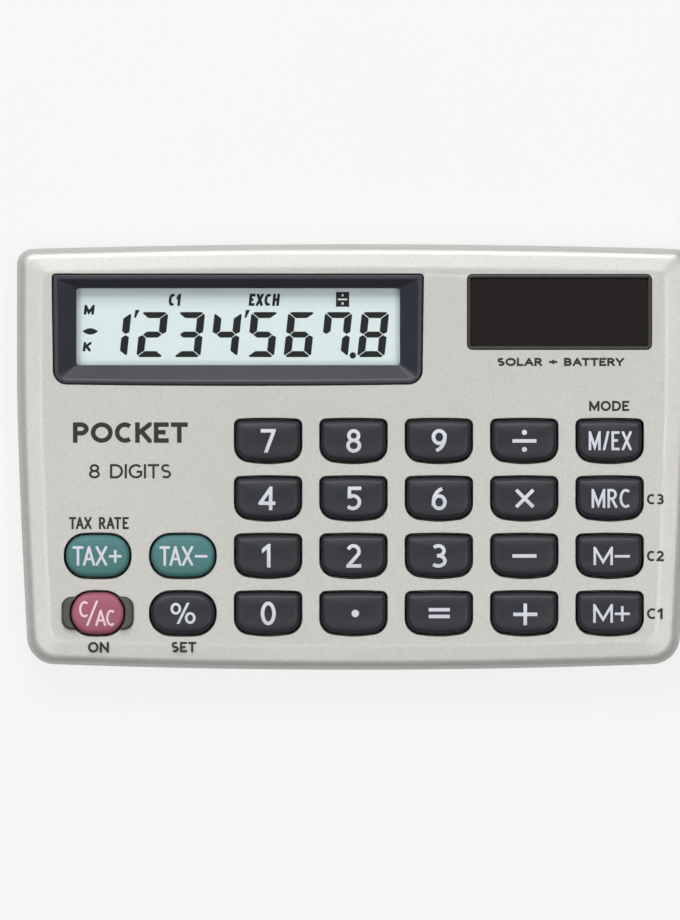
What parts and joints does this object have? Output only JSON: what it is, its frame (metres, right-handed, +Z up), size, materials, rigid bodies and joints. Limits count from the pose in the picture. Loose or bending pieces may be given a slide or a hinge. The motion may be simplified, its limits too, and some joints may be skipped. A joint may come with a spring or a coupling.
{
  "type": "pocket calculator",
  "caption": "Flat solar pocket calculator: rolled silver case, sloping display bezel, smoked solar window, sprung keys in rows and a guarded clear key.",
  "frame": {"origin": "centre of the footprint, on the surface the rear case lies on", "axes": "+X to the right of the face, +Y to its top edge, +Z up out of the face"},
  "size_m": [0.105, 0.0664, 0.0088],
  "materials": {
    "silver_shell": "satin metallic paint on moulded plastic",
    "rear_shell": "fine moulded texture",
    "slate_plastic": "satin",
    "clear_plastic": "clear gloss",
    "display_glass": "matt reflector behind glass",
    "zebra_rubber": "matt",
    "rim_plastic": "satin",
    "smoked_plastic": "smoked gloss",
    "solar_silicon": "dark amorphous film behind glass",
    "lead_vinyl": "gloss",
    "board_laminate": "solder resist",
    "black_resin": "cast resin",
    "ceramic": "fired body",
    "silicone": "matt",
    "cell_steel": "plated",
    "spring_steel": "plated",
    "guard_plastic": "satin",
    "screw_steel": "zinc plated",
    "dark_key_plastic": "satin",
    "teal_key_plastic": "satin",
    "rose_key_plastic": "satin"
  },
  "bodies": {
    "body": {"front_case": "silver_shell", "rear_case": "rear_shell", "display_bezel": "slate_plastic", "display_cover": "clear_plastic", "display_panel": "display_glass", "display_connector": "zebra_rubber", "solar_rim": "rim_plastic", "solar_window": "smoked_plastic", "solar_cell": "solar_silicon", "solar_lead_positive": "lead_vinyl", "solar_lead_negative": "lead_vinyl", "circuit_board": "board_laminate", "chip_blob": "black_resin", "smoothing_capacitor": "ceramic", "bias_resistor": "black_resin", "key_mat": "silicone", "button_cell": "cell_steel", "battery_contact_positive": "spring_steel", "battery_contact_negative": "spring_steel", "power_key_guard": "guard_plastic", "case_screw_1": "screw_steel", "case_screw_2": "screw_steel", "case_screw_3": "screw_steel", "case_screw_4": "screw_steel", "board_screw_1": "screw_steel", "board_screw_2": "screw_steel", "board_screw_3": "screw_steel", "board_screw_4": "screw_steel"},
    "key_7": {"key_7": "dark_key_plastic"},
    "key_8": {"key_8": "dark_key_plastic"},
    "key_9": {"key_9": "dark_key_plastic"},
    "key_divide": {"key_divide": "dark_key_plastic"},
    "key_memory_exchange": {"key_memory_exchange": "dark_key_plastic"},
    "key_4": {"key_4": "dark_key_plastic"},
    "key_5": {"key_5": "dark_key_plastic"},
    "key_6": {"key_6": "dark_key_plastic"},
    "key_multiply": {"key_multiply": "dark_key_plastic"},
    "key_memory_recall": {"key_memory_recall": "dark_key_plastic"},
    "key_1": {"key_1": "dark_key_plastic"},
    "key_2": {"key_2": "dark_key_plastic"},
    "key_3": {"key_3": "dark_key_plastic"},
    "key_minus": {"key_minus": "dark_key_plastic"},
    "key_memory_minus": {"key_memory_minus": "dark_key_plastic"},
    "key_0": {"key_0": "dark_key_plastic"},
    "key_point": {"key_point": "dark_key_plastic"},
    "key_equals": {"key_equals": "dark_key_plastic"},
    "key_plus": {"key_plus": "dark_key_plastic"},
    "key_memory_plus": {"key_memory_plus": "dark_key_plastic"},
    "key_percent": {"key_percent": "dark_key_plastic"},
    "key_tax_plus": {"key_tax_plus": "teal_key_plastic"},
    "key_tax_minus": {"key_tax_minus": "teal_key_plastic"},
    "key_clear": {"key_clear": "rose_key_plastic"}
  },
  "joints": [
    {"name": "key_7_press", "type": "slide", "parent": "body", "child": "key_7", "axis": [0, 0, -1], "range_m": [0, 0.0009], "stiffness_N_per_m": 500, "springref_m": -0.001, "deforming": ["key_mat"]},
    {"name": "key_8_press", "type": "slide", "parent": "body", "child": "key_8", "axis": [0, 0, -1], "range_m": [0, 0.0009], "stiffness_N_per_m": 500, "springref_m": -0.001, "deforming": ["key_mat"]},
    {"name": "key_9_press", "type": "slide", "parent": "body", "child": "key_9", "axis": [0, 0, -1], "range_m": [0, 0.0009], "stiffness_N_per_m": 500, "springref_m": -0.001, "deforming": ["key_mat"]},
    {"name": "key_divide_press", "type": "slide", "parent": "body", "child": "key_divide", "axis": [0, 0, -1], "range_m": [0, 0.0009], "stiffness_N_per_m": 500, "springref_m": -0.001, "deforming": ["key_mat"]},
    {"name": "key_memory_exchange_press", "type": "slide", "parent": "body", "child": "key_memory_exchange", "axis": [0, 0, -1], "range_m": [0, 0.0009], "stiffness_N_per_m": 500, "springref_m": -0.001, "deforming": ["key_mat"]},
    {"name": "key_4_press", "type": "slide", "parent": "body", "child": "key_4", "axis": [0, 0, -1], "range_m": [0, 0.0009], "stiffness_N_per_m": 500, "springref_m": -0.001, "deforming": ["key_mat"]},
    {"name": "key_5_press", "type": "slide", "parent": "body", "child": "key_5", "axis": [0, 0, -1], "range_m": [0, 0.0009], "stiffness_N_per_m": 500, "springref_m": -0.001, "deforming": ["key_mat"]},
    {"name": "key_6_press", "type": "slide", "parent": "body", "child": "key_6", "axis": [0, 0, -1], "range_m": [0, 0.0009], "stiffness_N_per_m": 500, "springref_m": -0.001, "deforming": ["key_mat"]},
    {"name": "key_multiply_press", "type": "slide", "parent": "body", "child": "key_multiply", "axis": [0, 0, -1], "range_m": [0, 0.0009], "stiffness_N_per_m": 500, "springref_m": -0.001, "deforming": ["key_mat"]},
    {"name": "key_memory_recall_press", "type": "slide", "parent": "body", "child": "key_memory_recall", "axis": [0, 0, -1], "range_m": [0, 0.0009], "stiffness_N_per_m": 500, "springref_m": -0.001, "deforming": ["key_mat"]},
    {"name": "key_1_press", "type": "slide", "parent": "body", "child": "key_1", "axis": [0, 0, -1], "range_m": [0, 0.0009], "stiffness_N_per_m": 500, "springref_m": -0.001, "deforming": ["key_mat"]},
    {"name": "key_2_press", "type": "slide", "parent": "body", "child": "key_2", "axis": [0, 0, -1], "range_m": [0, 0.0009], "stiffness_N_per_m": 500, "springref_m": -0.001, "deforming": ["key_mat"]},
    {"name": "key_3_press", "type": "slide", "parent": "body", "child": "key_3", "axis": [0, 0, -1], "range_m": [0, 0.0009], "stiffness_N_per_m": 500, "springref_m": -0.001, "deforming": ["key_mat"]},
    {"name": "key_minus_press", "type": "slide", "parent": "body", "child": "key_minus", "axis": [0, 0, -1], "range_m": [0, 0.0009], "stiffness_N_per_m": 500, "springref_m": -0.001, "deforming": ["key_mat"]},
    {"name": "key_memory_minus_press", "type": "slide", "parent": "body", "child": "key_memory_minus", "axis": [0, 0, -1], "range_m": [0, 0.0009], "stiffness_N_per_m": 500, "springref_m": -0.001, "deforming": ["key_mat"]},
    {"name": "key_0_press", "type": "slide", "parent": "body", "child": "key_0", "axis": [0, 0, -1], "range_m": [0, 0.0009], "stiffness_N_per_m": 500, "springref_m": -0.001, "deforming": ["key_mat"]},
    {"name": "key_point_press", "type": "slide", "parent": "body", "child": "key_point", "axis": [0, 0, -1], "range_m": [0, 0.0009], "stiffness_N_per_m": 500, "springref_m": -0.001, "deforming": ["key_mat"]},
    {"name": "key_equals_press", "type": "slide", "parent": "body", "child": "key_equals", "axis": [0, 0, -1], "range_m": [0, 0.0009], "stiffness_N_per_m": 500, "springref_m": -0.001, "deforming": ["key_mat"]},
    {"name": "key_plus_press", "type": "slide", "parent": "body", "child": "key_plus", "axis": [0, 0, -1], "range_m": [0, 0.0009], "stiffness_N_per_m": 500, "springref_m": -0.001, "deforming": ["key_mat"]},
    {"name": "key_memory_plus_press", "type": "slide", "parent": "body", "child": "key_memory_plus", "axis": [0, 0, -1], "range_m": [0, 0.0009], "stiffness_N_per_m": 500, "springref_m": -0.001, "deforming": ["key_mat"]},
    {"name": "key_percent_press", "type": "slide", "parent": "body", "child": "key_percent", "axis": [0, 0, -1], "range_m": [0, 0.0009], "stiffness_N_per_m": 500, "springref_m": -0.001, "deforming": ["key_mat"]},
    {"name": "key_tax_plus_press", "type": "slide", "parent": "body", "child": "key_tax_plus", "axis": [0, 0, -1], "range_m": [0, 0.0009], "stiffness_N_per_m": 500, "springref_m": -0.001, "deforming": ["key_mat"]},
    {"name": "key_tax_minus_press", "type": "slide", "parent": "body", "child": "key_tax_minus", "axis": [0, 0, -1], "range_m": [0, 0.0009], "stiffness_N_per_m": 500, "springref_m": -0.001, "deforming": ["key_mat"]},
    {"name": "key_clear_press", "type": "slide", "parent": "body", "child": "key_clear", "axis": [0, 0, -1], "range_m": [0, 0.0009], "stiffness_N_per_m": 500, "springref_m": -0.001, "deforming": ["key_mat"]}
  ]
}
